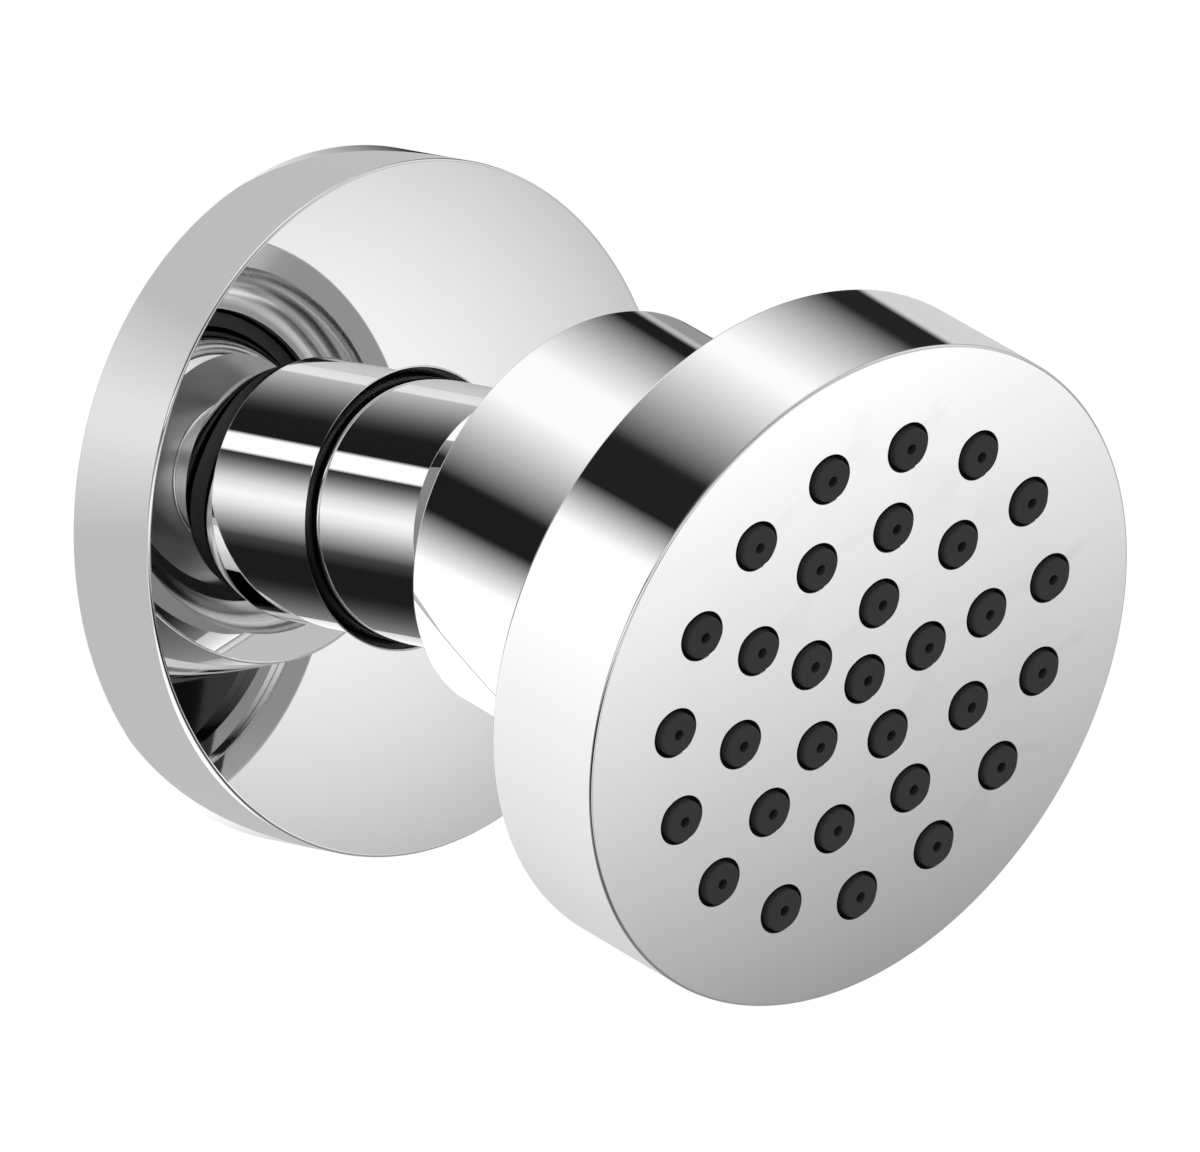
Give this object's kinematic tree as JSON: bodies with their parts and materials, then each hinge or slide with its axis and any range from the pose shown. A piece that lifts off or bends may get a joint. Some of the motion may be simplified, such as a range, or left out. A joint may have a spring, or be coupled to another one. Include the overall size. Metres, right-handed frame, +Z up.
{
  "type": "shower body jet",
  "caption": "Wall-mounted adjustable body jet: round cover plate, short stem, ball joint in a drum and a disc head with rubber nozzles on its face.",
  "frame": {"origin": "on the stem axis, in the plane of the finished wall", "axes": "+Y into the wall along the stem axis, -Y the way the jet looks, +Z up"},
  "size_m": [0.05, 0.073, 0.0549],
  "materials": {
    "chrome_plate": "polished chrome plate on brass",
    "black_silicone": "matte black silicone",
    "black_rubber": "matte black rubber",
    "white_plastic": "natural acetal",
    "black_plastic": "black acetal",
    "spring_steel": "bare stainless steel"
  },
  "bodies": {
    "base": {"escutcheon": "chrome_plate", "wall_gasket": "black_rubber", "escutcheon_grip_ring": "black_rubber", "inlet_stem": "chrome_plate", "inlet_washer": "black_rubber", "filter_screen": "spring_steel", "flow_regulator": "white_plastic", "flow_regulator_o_ring": "black_rubber", "ball_stem_clip": "spring_steel"},
    "swivel": {"ball_stem": "chrome_plate", "ball_stem_o_ring": "black_rubber"},
    "head": {"swivel_nut": "chrome_plate", "rear_ball_seat": "black_plastic", "front_ball_seat": "white_plastic", "ball_seal": "black_rubber", "preload_spring": "spring_steel", "swivel_nut_o_ring": "black_rubber", "head_back": "chrome_plate", "head_retaining_ring": "spring_steel", "head_o_ring": "black_rubber", "head_shell": "chrome_plate", "nozzle_mat": "black_silicone", "spray_plate": "white_plastic", "spray_plate_screws": "spring_steel"}
  },
  "joints": [
    {"name": "swivel", "type": "hinge", "parent": "base", "child": "swivel", "pos_m": [0, -0.03274, 0], "axis": [0, -1, 0], "continuous": true},
    {"name": "tilt", "type": "hinge", "parent": "swivel", "child": "head", "pos_m": [0, -0.03274, 0], "axis": [1, 0, 0], "range_deg": [-35, 5]}
  ]
}
